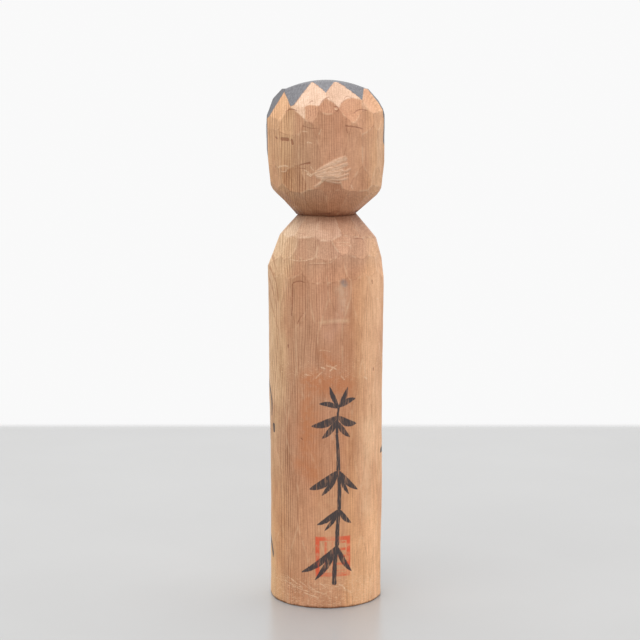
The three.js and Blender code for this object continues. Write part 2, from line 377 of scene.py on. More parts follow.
BODY_DARK = [
    (-9.6, 197.3, 0.2, 197.5, 0.2, 0.05, 0.0), (-19.8, 186, -20.4, 168.5, 0.3, 0.35, 0.3),
    (-19.4, 186.6, -12.5, 187.6, 0.9, 0.25, 0.3), (-12.6, 170.6, -16.4, 164.2, -0.3, 0.0, 0.3),
    (29.7, 187.4, 30.4, 185.6, 0, 0.5, 0.35), (31.7, 137, 31.6, 136, 0, 0.55, 0.45),
    (-2.8, 163.2, 12.6, 163.4, 0.8, -0.1, 0.0), (-23.2, 151.3, -23.1, 150, 0, 0.5, 0.4),
    (-14.4, 98.6, -13.6, 98, 0, 0.45, 0.3), (19, 211.3, 27, 210.6, 0.3, 0.1, 0.2),
    (-22.5, 213.4, -14.5, 213, 0.9, -0.05, 0.0),
]
BODY_PALE = [
    (-23, 199.9, -8, 200.7, -0.9, 0.1, 0.15), (-9.8, 198.3, 1.4, 198.5, 0.1, 0.0, 0.1),
    (1.4, 198.6, 6.2, 203, -0.9, 0.08, 0.0), (7, 209.7, 15.6, 209.4, 0.1, 0.05, 0.08),
    (7.2, 208.2, 15.6, 207.8, 0.1, 0.08, 0.02), (0.4, 140.9, 5.8, 138.6, 0.3, 0.45, 0.4),
    (2.4, 138, 5.9, 140.7, 0.2, 0.35, 0.35), (-2.4, 139.8, -0.6, 139.1, 0, 0.4, 0.3),
    (-11.9, 135.4, -9.2, 135.1, 0, 0.4, 0.25), (-5.6, 133.6, -2.4, 137.1, 0.2, 0.22, 0.2),
    (23.8, 133, 25.5, 131.8, 0, 0.5, 0.35), (8.8, 134.5, 10.2, 132.8, 0, 0.4, 0.25),
    (-3.5, 149.5, 2, 148.9, 0.3, 0.12, 0.12), (-24.5, 16.6, -18, 13.4, 0.3, 0.25, 0.25),
    (-19.5, 11.6, -10, 9.5, -0.3, 0.25, 0.3), (-13, 8.6, -4.5, 6.2, 0.2, 0.3, 0.3),
    (8, 14, 11.6, 10.2, 0.5, 0.35, 0.3), (34.5, 176.5, 36.6, 176.1, 0, 0.35, 0.3),
    (24, 177, 27.6, 160, -0.5, 0.0, -0.1), (-27, 13.6, -20.5, 12, 0.3, 0.2, 0.2),
    (-22, 9.6, -14.5, 11.8, 0.4, 0.1, 0.25), (-15.5, 14.5, -9.5, 11.2, 0.3, 0.25, 0.1),
    (-9.5, 12.8, -4, 9.4, -0.3, 0.15, 0.25), (-7, 9.8, 0.5, 8.4, 0.2, 0.25, 0.1),
    (-4.5, 15.2, 0, 12.4, 0.2, 0.1, 0.2), (12, 10.5, 16, 7.6, 0.2, 0.2, 0.05),
]
# Soft stains, and last the curved grain at the left shoulder: strokes, how soft their edge is in
# mm, the most they cover, and their colour.
BODY_STAINS = [
    ([(-8, 131, 11, 129, 0, 7, 6), (-11, 122, -12, 92, 0, 3.5, 4), (-15, 84, -6, 78, 0, 4, 3.5),
      (-2, 148, 4, 140, 0, 1, 3)], 5.0, 0.68, (182, 110, 64)),
    ([(-7, 112, -5, 62, 0, 5, 2), (10, 112, 11, 92, 0, 2, 1)], 6.0, 0.4, (190, 122, 76)),
    ([(2, 62, 3, 20, 0, 9, 10)], 9.0, 0.3, (226, 178, 136)),
    ([(27, 104, 26, 56, 0, 4, 4)], 6.0, 0.45, (238, 198, 158)),
    ([(16, 122, 15, 70, 0, 1.5, 1.2), (17.5, 180, 13, 150, 0, 2.5, 2.5),
      (13, 149, 15, 124, 0, 2.5, 2)], 3.5, 0.4, (178, 116, 74)),
    ([(9.8, 187.6, 10.4, 186.6, 0, 1.5, 1.4)], 1.4, 0.75, (108, 103, 106)),
    ([(8.5, 184, 10.5, 173, 0, 2.6, 1.8)], 3.0, 0.3, (226, 202, 170)),
    ([(-3.4, 165.2, 12.4, 166, 0.5, 0.3, 0.7)], 1.5, 0.4, (232, 204, 164)),
    ([(10, 182, 2, 158, 2, 3, 3)], 4.0, 0.22, (206, 160, 140)),
    ([(-45.5, 201, -34, 193.5, 0.9, 0.9, 0.35), (-46, 195, -32.4, 185, 1.8, 1.0, 0.35),
      (-48, 190.5, -33, 171.5, 2.8, 1.2, 0.35), (-48, 183, -32.8, 161, 1.0, 1.1, 0.3),
      (-41, 174.5, -31, 159, 0.4, 0.6, 0.2), (-35.5, 191, -30.5, 176, 0.9, 0.35, 0.15)],
     0.5, 0.72, (156, 104, 68)),
]


# ---- Meshes ----
def around(count):
    """Even azimuths, in radians."""
    return np.arange(count) * 2 * np.pi / count


def ring_at(radius, height, columns):
    return points_on(around(columns), np.full(columns, height), radius, body_ray)


def closed_mesh(name, rings, first_pole, last_pole, on_crease):
    """Joins rings of points, listed from the first pole to the last, into one closed mesh.

    Squares are split along one diagonal, or along the other if only that one lies on a crease.
    """
    count, columns = rings.shape[:2]
    points = np.concatenate([[first_pole], rings.reshape(-1, 3), [last_pole]]) * MM
    index = 1 + np.arange(count * columns).reshape(count, columns)
    after = np.roll(index, -1, axis=1)
    a, b, c, d = index[:-1], after[:-1], after[1:], index[1:]
    flags = np.concatenate([[False], on_crease.ravel(), [False]])
    swap = (flags[b] & flags[d] & ~(flags[a] & flags[c]))[..., None]
    one = np.where(swap, np.stack([a, b, d], -1), np.stack([a, b, c], -1))
    two = np.where(swap, np.stack([b, c, d], -1), np.stack([a, c, d], -1))
    low = np.stack([np.zeros(columns, int), after[0], index[0]], -1)
    high = np.stack([np.full(columns, len(points) - 1), index[-1], after[-1]], -1)
    faces = np.concatenate([low, one.reshape(-1, 3), two.reshape(-1, 3), high])
    mesh = bpy.data.meshes.new(name)
    mesh.from_pydata(points.tolist(), [], faces.tolist())
    mesh.shade_smooth()
    piece = bpy.data.objects.new(name, mesh)
    bpy.context.collection.objects.link(piece)
    return piece


def give_values(piece, rings_before, rings_after, **values):
    """Stores named numbers at each point; the plain rings in the socket get zero."""
    for name, grid in values.items():
        columns = grid.shape[1]
        before = np.zeros(1 + rings_before * columns)
        after = np.zeros(rings_after * columns + 1)
        stored = piece.data.attributes.new(name, "FLOAT", "POINT")
        every = np.concatenate([before, grid.ravel(), after]).astype(np.float32)
        stored.data.foreach_set("value", every)


BLOCK = 8          # rings carved at a time


def carve_grid(azimuth, level, ray, cuts, level_scale):
    """Carves a grid of rays; azimuth and level are (rings, columns)."""
    spacing = (azimuth[0, 1] - azimuth[0, 0], np.median(np.diff(level[:, 0])))
    columns = azimuth.shape[1]
    parts = []
    for first in range(0, len(azimuth), BLOCK):
        rows = slice(first, first + BLOCK)
        found = carve(azimuth[rows].ravel(), level[rows].ravel(), ray, cuts, level_scale, spacing)
        parts.append([part.reshape(-1, columns, *part.shape[1:]) for part in found])
    return [np.concatenate(part) for part in zip(*parts)]


def chatter(azimuth, height, reach):
    """Faint uneven hand pressure in the strokes, mm."""
    x = reach * np.sin(azimuth)
    y = reach * np.cos(azimuth)
    wave = np.sin(0.21 * height + 0.13 * x) * np.sin(0.17 * y + 0.05 * height + 1.3)
    return 0.05 * wave + 0.03 * np.sin(0.55 * height + 0.4 * x + 0.3 * y)


def socket_rings(mouth, end, columns):
    """The blind socket for the peg: its chamfered mouth and its wall, from the mouth inwards."""
    return [
        ring_at(SOCKET_RADIUS + SOCKET_CHAMFER, mouth, columns),
        ring_at(SOCKET_RADIUS, mouth + math.copysign(SOCKET_CHAMFER, end - mouth), columns),
        ring_at(SOCKET_RADIUS, end, columns),
    ]


SOCKET_RINGS = 3
BODY_COLUMNS = 320
BODY_RINGS = 292
FOOT_BEVEL = 0.8
FOOT_HEIGHTS = (0, 0.15, 0.4, 0.8)    # close rings round the worn edge of the foot
FIRST_HEIGHT = 1.4                    # where the even rings start


def make_body():
    cuts = body_cuts()
    heights = np.concatenate([FOOT_HEIGHTS, np.linspace(FIRST_HEIGHT, BODY_TOP, BODY_RINGS)])
    azimuth, level = np.broadcast_arrays(around(BODY_COLUMNS)[None], heights[:, None])
    azimuth, moved, reach, which, crease, close, _ = carve_grid(
        azimuth, level, body_ray, cuts, 1.0
    )
    level_rings = len(FOOT_HEIGHTS) + 1
    moved[:level_rings] = level[:level_rings]
    moved[-1] = BODY_TOP
    worn = np.clip(1 - moved / FOOT_BEVEL, 0, 1)
    reach = reach + chatter(azimuth, moved, reach) - FOOT_BEVEL * worn**2
    outside = points_on(azimuth, moved, reach, body_ray)
    socket = socket_rings(BODY_TOP, BODY_SOCKET_FLOOR, BODY_COLUMNS)
    rings = np.concatenate([outside, socket])
    flags = np.concatenate([close, np.zeros((SOCKET_RINGS, BODY_COLUMNS), bool)])
    body = closed_mesh("carved_body", rings, (0, 0, 0), (0, 0, BODY_SOCKET_FLOOR), flags)
    calm = np.interp(cuts[:, HEIGHT], SHOULDER, [0.3, 1])
    tones = np.random.default_rng(5).uniform(-1, 1, len(cuts)) * calm
    pale = cuts[which, PALE]
    give_values(body, 0, SOCKET_RINGS, tone=tones[which], pale=pale, crease=crease)
    return body


HEAD_COLUMNS = 400
HEAD_RINGS = 224
NECK_FLARE_TOP = 231.0
HAIR_LIMIT = 3.0          # the hair's edge is measured no further than this, mm
HAIR_BACK_EDGE = 103.0    # degrees from the middle of the face
HAIR_FRONT_EDGE = 60.0
HAIRLINE = 281.5


def face_hair(azimuth, heights):
    """Hair paint on the face side, mm inside its edge: a fringe, and a curtain down each side."""
    turn = np.degrees((azimuth + np.pi) % (2 * np.pi) - np.pi)
    aside = 180 - np.abs(turn)
    tip = np.where(turn < 0, 241.0, 256.0)
    front_edge = HAIR_FRONT_EDGE + 5 * np.sin((heights - 244) * 0.09)
    arc = np.radians(1) * HEAD_RADIUS
    rounded_tip = heights - tip - 0.012 * (aside - 76)**2
    curtain = np.minimum((aside - front_edge) * arc, (HAIR_BACK_EDGE - aside) * arc)
    curtain = np.minimum(curtain, rounded_tip)
    lock = 2.2 * np.abs(np.sin(np.radians(aside * 5)))
    fringe = np.minimum(heights - HAIRLINE + lock - 0.002 * aside**2, (HAIR_BACK_EDGE - aside) * arc)
    return np.maximum(curtain, fringe)


def stroke_reach(across, height, rows):
    """Distance to the nearest of some strokes, mm, negative inside them."""
    nearest = np.full(across.shape, FAR)
    for start_across, start_height, end_across, end_height, bend, first, last, *_ in rows:
        run = np.array([end_across - start_across, end_height - start_height])
        length = np.hypot(*run)
        away = (across - start_across, height - start_height)
        share = np.clip((away[0] * run[0] + away[1] * run[1]) / length**2, 0, 1)
        bow = 4 * bend * share * (1 - share) / length
        near = np.hypot(away[0] - share * run[0] + bow * run[1], away[1] - share * run[1] - bow * run[0])
        nearest = np.minimum(nearest, near - first - (last - first) * share)
    return nearest


TEAR_START = (-14.0, 246.0)    # the torn fibres fan out from here
TORN_UP = 0.18                 # how far the fibres stand up or lie torn away, mm


def tear(azimuth, height):
    """How far the torn fibres on the back stand out of the head, mm."""
    across = ((azimuth + np.pi) % (2 * np.pi) - np.pi) * UNROLLED
    inside = np.clip(0.4 - stroke_reach(across, height, TORN_FIBRES), 0, 1)
    angle = np.arctan2(height - TEAR_START[1], across - TEAR_START[0])
    fibres = np.sin(48 * angle) + 0.5 * np.sin(83 * angle + 0.2 * across)
    return TORN_UP * inside * (0.35 + 0.6 * fibres)


def make_head():
    cuts = head_cuts()
    neck = neck_cuts()
    turns = around(HEAD_COLUMNS)
    level_neck = np.full(HEAD_COLUMNS, HEAD_BOTTOM)
    neck_reach = two_nearest(turns, level_neck, body_ray, neck)[0].min(1)
    lowest = np.arctan2(neck_reach, HEAD_CENTRE - HEAD_BOTTOM)
    share = np.linspace(0, 1, HEAD_RINGS + 1)[:-1, None]
    level = lowest[None] + (np.pi - lowest[None]) * share
    azimuth = np.broadcast_to(turns[None], level.shape)
    azimuth, level, reach, which, crease, close, every = carve_grid(
        azimuth, level, head_ray, cuts, None
    )
    level[0] = lowest
    neck_grid = carve_grid(azimuth, level, head_ray, neck, None)
    heights = HEAD_CENTRE - reach * np.cos(level)
    in_neck = (neck_grid[2] > reach) & (heights < NECK_FLARE_TOP)
    reach = np.where(in_neck, neck_grid[2], reach)
    painted = cuts[:, PAINTED] > 0.5
    hair = every[..., ~painted].min(-1) - every[..., painted].min(-1)
    hair = np.maximum(hair, face_hair(azimuth, heights))
    hair = np.where(in_neck, -HAIR_LIMIT, np.clip(hair, -HAIR_LIMIT, HAIR_LIMIT))
    reach[0] = (HEAD_CENTRE - HEAD_BOTTOM) / np.cos(lowest)
    outside = points_on(azimuth, level, reach, head_ray)
    shift = chatter(azimuth, outside[..., 2], HEAD_RADIUS) + tear(azimuth, outside[..., 2])
    outside[1:, :, :2] *= (1 + shift[1:, :, None] / HEAD_RADIUS)
    socket = socket_rings(HEAD_BOTTOM, HEAD_SOCKET_ROOF, HEAD_COLUMNS)
    rings = np.concatenate([socket[::-1], outside])
    flags = np.concatenate([np.zeros((SOCKET_RINGS, HEAD_COLUMNS), bool), close])
    top = (0, 0, outside[-1, :, 2].mean())
    head = closed_mesh("carved_head", rings, (0, 0, HEAD_SOCKET_ROOF), top, flags)
    tones = np.random.default_rng(6).uniform(-1, 1, len(cuts))
    pale = cuts[which, PALE]
    give_values(head, SOCKET_RINGS, 0, tone=tones[which], pale=pale, crease=crease, hair=hair)
    return head


# ---- Shader building ----
class Wire:
    """An output of a shader node. Arithmetic on wires adds math nodes."""

    def __init__(self, socket):
        self.socket = socket
        self.tree = socket.id_data

    def __add__(self, other):
        return calc("ADD", self, other)

    def __sub__(self, other):
        return calc("SUBTRACT", self, other)

    def __rsub__(self, other):
        return calc("SUBTRACT", other, self)

    def __mul__(self, other):
        return calc("MULTIPLY", self, other)

    def __truediv__(self, other):
        return calc("DIVIDE", self, other)


def feed(node_input, value):
    """Links a wire to an input, or sets the input to a plain value."""
    if isinstance(value, Wire):
        value.tree.links.new(value.socket, node_input)
    else:
        node_input.default_value = value


def add_node(kind, sockets, **settings):
    """Adds a node beside the ones that feed it; sockets maps its inputs to wires and values."""
    tree = next(value.tree for value in sockets.values() if isinstance(value, Wire))
    made = tree.nodes.new(kind)
    for name, value in settings.items():
        setattr(made, name, value)
    for key, value in sockets.items():
        feed(made.inputs[key], value)
    return made


def add(kind, sockets, output=0, **settings):
    return Wire(add_node(kind, sockets, **settings).outputs[output])


def calc(operation, *values, clamp=False):
    return add("ShaderNodeMath", dict(enumerate(values)), operation=operation, use_clamp=clamp)


def vector_calc(operation, *values, output=0):
    return add("ShaderNodeVectorMath", dict(enumerate(values)), output, operation=operation)


def parts_of(place):
    return [Wire(part) for part in add_node("ShaderNodeSeparateXYZ", {0: place}).outputs]


def mix(amount, first, second, mode="MIX"):
    sockets = {0: amount, 6: first, 7: second}
    return add("ShaderNodeMix", sockets, 2, data_type="RGBA", blend_type=mode)


def remap(value, low, high, to_low=0.0, to_high=1.0):
    sockets = {0: value, 1: low, 2: high, 3: to_low, 4: to_high}
    return add("ShaderNodeMapRange", sockets, interpolation_type="SMOOTHSTEP")


def noise(place, stretch, offset, detail=3.0, roughness=0.6):
    """Noise with a scale for each axis, in cells a millimetre."""
    scaled = vector_calc("MULTIPLY", place, stretch)
    moved = vector_calc("ADD", scaled, (offset, offset * 0.7, offset * 1.3))
    sockets = {"Vector": moved, "Scale": 1.0, "Detail": detail, "Roughness": roughness}
    return add("ShaderNodeTexNoise", sockets)


def ramp(value, stops):
    made = add_node("ShaderNodeValToRGB", {0: value})
    elements = made.color_ramp.elements
    while len(elements) < len(stops):
        elements.new(1.0)
    for element, (position, colour) in zip(elements, stops):
        element.position = position
        element.color = (*colour, 1)
    return Wire(made.outputs[0])


def attribute(tree, name):
    made = tree.nodes.new("ShaderNodeAttribute")
    made.attribute_name = name
    return Wire(made.outputs["Fac"])


def coordinates(tree):
    return Wire(tree.nodes.new("ShaderNodeTexCoord").outputs["Object"])


def millimetres(tree):
    """Where a point is on its piece, mm."""
    sockets = {0: coordinates(tree), "Scale": 1 / MM}
    return add("ShaderNodeVectorMath", sockets, operation="SCALE")


def linear(red, green, blue):
    """A colour from its usual 0 to 255 values."""
    def one(value):
        value /= 255
        return value / 12.92 if value <= 0.04045 else ((value + 0.055) / 1.055) ** 2.4
    return one(red), one(green), one(blue)


def paint(colour, amount, shade):
    """The colour with some of another laid over it."""
    return mix(amount, colour, (*linear(*shade), 1))


def tint(colour, amount, factors):
    """The colour with some of its red, green and blue multiplied."""
    return mix(amount, colour, mix(1.0, colour, (*factors, 1), "MULTIPLY"))


def vary(colour, value, low, high):
    """The colour times factors that run from low through 1 to high, both of them ramp stops."""
    return mix(1.0, colour, ramp(value, [low, (0.5, (1, 1, 1)), high]), "MULTIPLY")


def new_material(name):
    material = bpy.data.materials.new(name)
    material.use_nodes = True
    return material


# ---- Wood ----
PITH = (78.0, -26.0, 0.0)      # the middle of the tree, well outside the billet, mm
RING_WIDTH = 1.3              # mm

# Wood colour across the billet: distance from the pith in mm, and the colour.
WOOD_BANDS = [
    (42, (229, 180, 139)), (51, (225, 175, 134)), (59, (207, 153, 111)), (64, (194, 139, 103)),
    (78, (192, 139, 106)), (92, (191, 143, 109)), (101, (192, 148, 112)), (105, (206, 165, 125)),
    (114, (212, 173, 132)),
]


def ring_depth(place):
    """How far a place lies from the swaying pith, mm, and its height."""
    sway = noise(place, (0.025, 0.025, 0.009), 3, 2.0, 0.5)
    wobble = noise(place, (0.12, 0.12, 0.03), 9, 2.0, 0.5)
    shift = (sway - 0.5) * 6.0 + (wobble - 0.5) * 1.5
    flat = vector_calc("MULTIPLY", place, (1, 1, 0))
    depth = vector_calc("DISTANCE", flat, PITH, output="Value") + shift
    across, _, rising = parts_of(place)
    # the rings bow out on the left side of the body, below the shoulder
    swirl = remap(rising, 208, 166, 0.0, 4.0) + remap(rising, 163, 120, 0.0, -3.0)
    return calc("MULTIPLY_ADD", swirl, remap(across, -14, -28), depth), rising


def late_wood(depth):
    """The dark line at the end of each ring, from 0 to 1."""
    sockets = {"W": depth * 0.12, "Scale": 1.0, "Detail": 1.0}
    uneven = add("ShaderNodeTexNoise", sockets, noise_dimensions="1D")
    rings = depth / RING_WIDTH + uneven * 2.4
    within = calc("FRACT", rings)
    number = calc("FLOOR", rings)
    strength = add("ShaderNodeTexWhiteNoise", {"W": number}, noise_dimensions="1D")
    line = remap(within, 0.4, 0.8) * remap(within, 1.0, 0.88)
    return line * remap(strength, 0.0, 1.0, 0.6, 1.0)


def band_colour(place, depth, rising):
    cloud = noise(place, (0.06, 0.06, 0.012), 0, roughness=0.5)
    depth = depth + (cloud - 0.5) * 9
    depth = depth + remap(rising, 182, 205, 0.0, 7.0)
    depth = depth + remap(rising, 125, 85, 0.0, -6.5)
    low, high = WOOD_BANDS[0][0], WOOD_BANDS[-1][0]
    stops = [((at - low) / (high - low), linear(*colour)) for at, colour in WOOD_BANDS]
    return ramp(calc("DIVIDE", depth - low, high - low, clamp=True), stops)


def wood_layers(tree):
    """The place in the billet, and the wood's colour and bump height there."""
    place = millimetres(tree)
    depth, rising = ring_depth(place)
    late = late_wood(depth)
    colour = band_colour(place, depth, rising)
    cloud = noise(place, (0.05, 0.05, 0.02), 17)
    colour = paint(colour, remap(cloud, 0.42, 0.72, 0.0, 0.5), (180, 120, 85))
    # towards the foot the wood is lighter and yellower
    low_down = remap(rising, 110, 40)
    colour = tint(colour, low_down, (1.08, 1.05, 0.98))
    colour = tint(colour, low_down * remap(depth, 97, 108), (1.1, 1.08, 1.0))

    # freshly cut facets are paler, with painted highlight on some, and those with pale below zero get
    # painted shade, browner
    pale = attribute(tree, "pale")
    colour = paint(colour, calc("MAXIMUM", pale * 0.42, 0.0), (230, 210, 188))
    painted_shade = calc("MAXIMUM", pale * -1.0, 0.0)
    colour = tint(colour, painted_shade, (0.7, 0.56, 0.44))

    # ring lines, which fade in places, towards the foot and on fresh facets
    fading = noise(place, (0.16, 0.16, 0.03), 77)
    lines = late * remap(depth, 58, 98, 0.4, 0.9)
    lines = lines * remap(fading, 0.35, 0.65, 0.35, 1.0)
    lines = lines * remap(rising, 5, 85, 0.5, 1.0)
    lines = lines * calc("MULTIPLY_ADD", pale, -0.45, 1.0)
    colour = tint(colour, lines, (0.5, 0.36, 0.27))

    # fine fibres, marks of scraping, stains, and long soft streaks
    fibre = noise(place, (2.6, 2.6, 0.09), 5)
    colour = vary(colour, fibre, (0.25, (0.74, 0.7, 0.66)), (0.78, (1.16, 1.19, 1.23)))
    scrape = noise(place, (0.5, 0.5, 1.7), 13, roughness=0.65)
    colour = vary(colour, scrape, (0.3, (0.9, 0.88, 0.86)), (0.7, (1.08, 1.1, 1.12)))
    stain = noise(place, (0.13, 0.13, 0.07), 27)
    colour = vary(colour, stain, (0.32, (0.9, 0.87, 0.84)), (0.68, (1.05, 1.07, 1.1)))
    streak = noise(place, (0.45, 0.45, 0.012), 31, 2.0, 0.5)
    colour = vary(colour, streak, (0.3, (0.94, 0.93, 0.92)), (0.7, (1.04, 1.05, 1.06)))
    return place, colour, late * 0.06 + fibre * 0.05


# ---- Strokes in the shader ----
def make_brush_group():
    """Signed distance to one brush stroke, mm."""
    group = bpy.data.node_groups.new("brush_stroke", "ShaderNodeTree")
    for name in ("Place", "Start", "Along", "Side"):
        group.interface.new_socket(name=name, in_out="INPUT", socket_type="NodeSocketVector")
    for name in ("Length", "Bend", "First", "Growth", "Leaf"):
        group.interface.new_socket(name=name, in_out="INPUT", socket_type="NodeSocketFloat")
    group.interface.new_socket(name="Distance", in_out="OUTPUT", socket_type="NodeSocketFloat")
    given = {entry.name: Wire(entry) for entry in group.nodes.new("NodeGroupInput").outputs}
    away = vector_calc("SUBTRACT", given["Place"], given["Start"])
    share = vector_calc("DOT_PRODUCT", away, given["Along"], output="Value")
    aside = vector_calc("DOT_PRODUCT", away, given["Side"], output="Value")
    inside = calc("MAXIMUM", calc("MINIMUM", share, 1.0), 0.0)
    belly = inside * (1.0 - inside)
    side = calc("MULTIPLY_ADD", given["Bend"], belly, aside)
    beyond = (share - inside) * given["Length"]
    reach = calc("SQRT", calc("MULTIPLY_ADD", side, side, beyond * beyond))
    width = calc("MULTIPLY_ADD", given["Growth"], inside, given["First"])
    plump = calc("POWER", belly * 4.0, given["Leaf"])
    edge = reach - width * plump
    feed(group.nodes.new("NodeGroupOutput").inputs["Distance"], edge)
    return group


brush_group = make_brush_group()


def unrolled(place, waver, face_side=False):
    """Where a point is on the unrolled surface, as seen from outside, with a slight waver."""
    x, y, z = parts_of(place)
    forward = -1.0 if face_side else 1.0
    turn = calc("ARCTAN2", x * forward, y * -forward)
    across = turn * UNROLLED
    ripple = noise(place, (1.1, 1.1, 0.35), 51)
    across = calc("MULTIPLY_ADD", ripple - 0.5, waver, across)
    return add("ShaderNodeCombineXYZ", {0: across, 1: z})


def stroke_distance(surface, rows):
    """Distance to the nearest of some strokes, mm, negative inside them."""
    nearest = None
    for start_across, start_height, end_across, end_height, bend, first, last, *leaf in rows:
        across, up = end_across - start_across, end_height - start_height
        length = math.hypot(across, up)
        distance = add("ShaderNodeGroup", {
            "Place": surface, "Start": (start_across, start_height, 0),
            "Along": (across / length**2, up / length**2, 0),
            "Side": (-up / length, across / length, 0), "Length": length, "Bend": -4 * bend,
            "First": first, "Growth": last - first, "Leaf": 0.75 * leaf[0] if leaf else 0.0,
        }, "Distance", node_tree=brush_group)
        nearest = distance if nearest is None else calc("MINIMUM", nearest, distance)
    return nearest


def cover(distance, soft, most=1.0):
    """How much of a stroke's colour shows, from its distance."""
    return remap(distance, soft, -soft, 0.0, most)


def wood_material(name):
    """A material, and the place, colour and bump height of the carved wood in it."""
    material = new_material(name)
    tree = material.node_tree
    place, colour, height = wood_layers(tree)
    tone = calc("MULTIPLY_ADD", attribute(tree, "tone"), 0.07, 1.0)
    tone_colour = add("ShaderNodeCombineColor", {0: tone, 1: tone, 2: tone})
    colour = mix(1.0, colour, tone_colour, "MULTIPLY")
    # along each crease: a pale line, partly worn wood and partly painted highlight, and a brown line of
    # painted shade, both in patches
    edge_patches = noise(place, (0.25, 0.25, 0.1), 19, 2.0, 0.5)
    ridge = remap(attribute(tree, "crease"), 0.9, 0.0, 0.0, 0.22)
    ridge = ridge * remap(edge_patches, 0.45, 0.6)
    colour = paint(colour, ridge, (232, 198, 162))
    edge = remap(attribute(tree, "crease"), 0.6, 0.0, 0.0, 0.34)
    edge = edge * remap(edge_patches, 0.55, 0.4)
    colour = paint(colour, edge, (140, 88, 56))
    return material, place, colour, height


def finish_wood(material, colour, height, roughness):
    shader = material.node_tree.nodes["Principled BSDF"]
    feed(shader.inputs["Base Color"], colour)
    feed(shader.inputs["Roughness"], roughness)
    bump = add("ShaderNodeBump", {"Height": height, "Distance": MM, "Strength": 0.7})
    feed(shader.inputs["Normal"], bump)
    return material


INK = (52, 46, 48)
STAMP_RED = (214, 84, 48)
PETAL_RED = (196, 58, 38)


def scars(place, colour, height, surface, dark_rows, pale_rows):
    """Brown and pale marks, slightly sunk or raised, broken up as they cross the grain."""
    broken = noise(place, (1.8, 1.8, 1.8), 91, 2.0)
    ragged = (broken - 0.5) * 0.8
    strength = remap(broken, 0.35, 0.6, 1.0, 0.4)
    dark = cover(stroke_distance(surface, dark_rows) + ragged, 0.3, 0.72)
    pale = cover(stroke_distance(surface, pale_rows) + ragged, 0.3, 0.55) * strength
    colour = paint(colour, dark, (132, 76, 46))
    colour = paint(colour, pale, (240, 210, 176))
    return colour, height + (pale * 0.15 - dark * 0.25)


def nicks(place, colour):
    """Small pale nicks and scrapes: many round the foot and the hand-worn middle, few elsewhere."""
    rising = parts_of(place)[2]
    foot = remap(rising, 23.0, 14.0)
    middle = remap(rising, 126.0, 136.0) * remap(rising, 150.0, 139.0) * 0.65
    often = calc("MAXIMUM", foot, middle) * 0.13
    leaning = vector_calc("ADD", place, rising * 0.8)
    nick = noise(leaning, (0.5, 0.5, 1.5), 57, roughness=0.75) + often
    return paint(colour, remap(nick, 0.68, 0.74, 0.0, 0.5), (244, 212, 174))


def ragged_height(place, scale, offset):
    """The height of a place, shifted up or down by a patchy noise."""
    rising = parts_of(place)[2]
    spread = noise(place, (scale, scale, scale), offset, roughness=0.7)
    return calc("MULTIPLY_ADD", spread - 0.5, 4.0, rising)


def foot_darkening(place, colour):
    """Darkens a ragged band along the edge that the doll stands on, most at the very bottom."""
    darkening = remap(ragged_height(place, 0.3, 47), 1.6, 0.3, 0.0, 0.8)
    return tint(colour, darkening, (0.4, 0.27, 0.18))


def seam_shade(place, colour, unshaded, darkest):
    """Painted shade that deepens towards the neck seam, between two heights."""
    darkening = calc("POWER", remap(ragged_height(place, 0.25, 7), unshaded, darkest), 1.6)
    return tint(colour, darkening, (0.42, 0.3, 0.22))


def brushed(place, distance, most=0.97):
    """Ink in a stroke: bled along the grain at its edge and thinner where the brush ran dry."""
    bleed = noise(place, (2.2, 2.2, 0.3), 71, 2.0, 0.5)
    distance = calc("MULTIPLY_ADD", bleed - 0.5, 0.7, distance)
    dry = noise(place, (1.6, 1.6, 0.14), 83, 2.0)
    strength = remap(dry, 0.68, 0.52, 0.5, most)
    return cover(distance, 0.2) * strength


STAMP_CENTRE = (4.2, 30.5)
STAMP_HALF = (10.3, 11.7)
STAMP_FRAME = 2.4          # width of the frame
STAMP_INSET = 3.0          # from the outside to the bars
STAMP_BAR = 4.3            # from one bar of the pattern to the next
STAMP_BAR_HALF = 0.75
STAMP_MIDDLE = 1.2         # where the level bars start


def stamp(place, surface):
    """A faded square stamp: a frame, upright bars in its left half and level bars in its right."""
    across, up, _ = parts_of(vector_calc("SUBTRACT", surface, (*STAMP_CENTRE, 0)))
    beyond_side = calc("ABSOLUTE", across) - STAMP_HALF[0]
    beyond_top = calc("ABSOLUTE", up) - STAMP_HALF[1]
    edge = calc("MAXIMUM", beyond_side, beyond_top)
    frame_line = calc("MAXIMUM", edge, (edge + STAMP_FRAME) * -1.0)
    upright = calc("PINGPONG", across, STAMP_BAR / 2) - STAMP_BAR_HALF
    upright = calc("MAXIMUM", upright, across)
    level = calc("PINGPONG", up, STAMP_BAR / 2) - STAMP_BAR_HALF
    level = calc("MAXIMUM", level, STAMP_MIDDLE - across)
    bars = calc("MAXIMUM", calc("MINIMUM", upright, level), edge + STAMP_INSET)
    shape = calc("MINIMUM", frame_line, bars)
    worn = noise(place, (0.17, 0.17, 0.17), 15, roughness=0.65)
    patchy = remap(worn, 0.36, 0.54, 0.3, 0.95)
    side = remap(calc("ABSOLUTE", across), 2.0, 8.0, 0.45, 1.0)
    return cover(shape, 0.35) * (patchy * side)


def petals():
    rows = []
    for index in range(FLOWER_PETALS):
        angle = math.radians(index * 360 / FLOWER_PETALS + 12)
        across, up = math.cos(angle), math.sin(angle)
        near, far = 3.0, 15.5 if index % 2 else 17.5
        rows.append((
            FLOWER_CENTRE[0] + near * across, FLOWER_CENTRE[1] + near * up,
            FLOWER_CENTRE[0] + far * across, FLOWER_CENTRE[1] + far * up, 0.6, 2.4, 3.2, 0.7,
        ))
    return rows


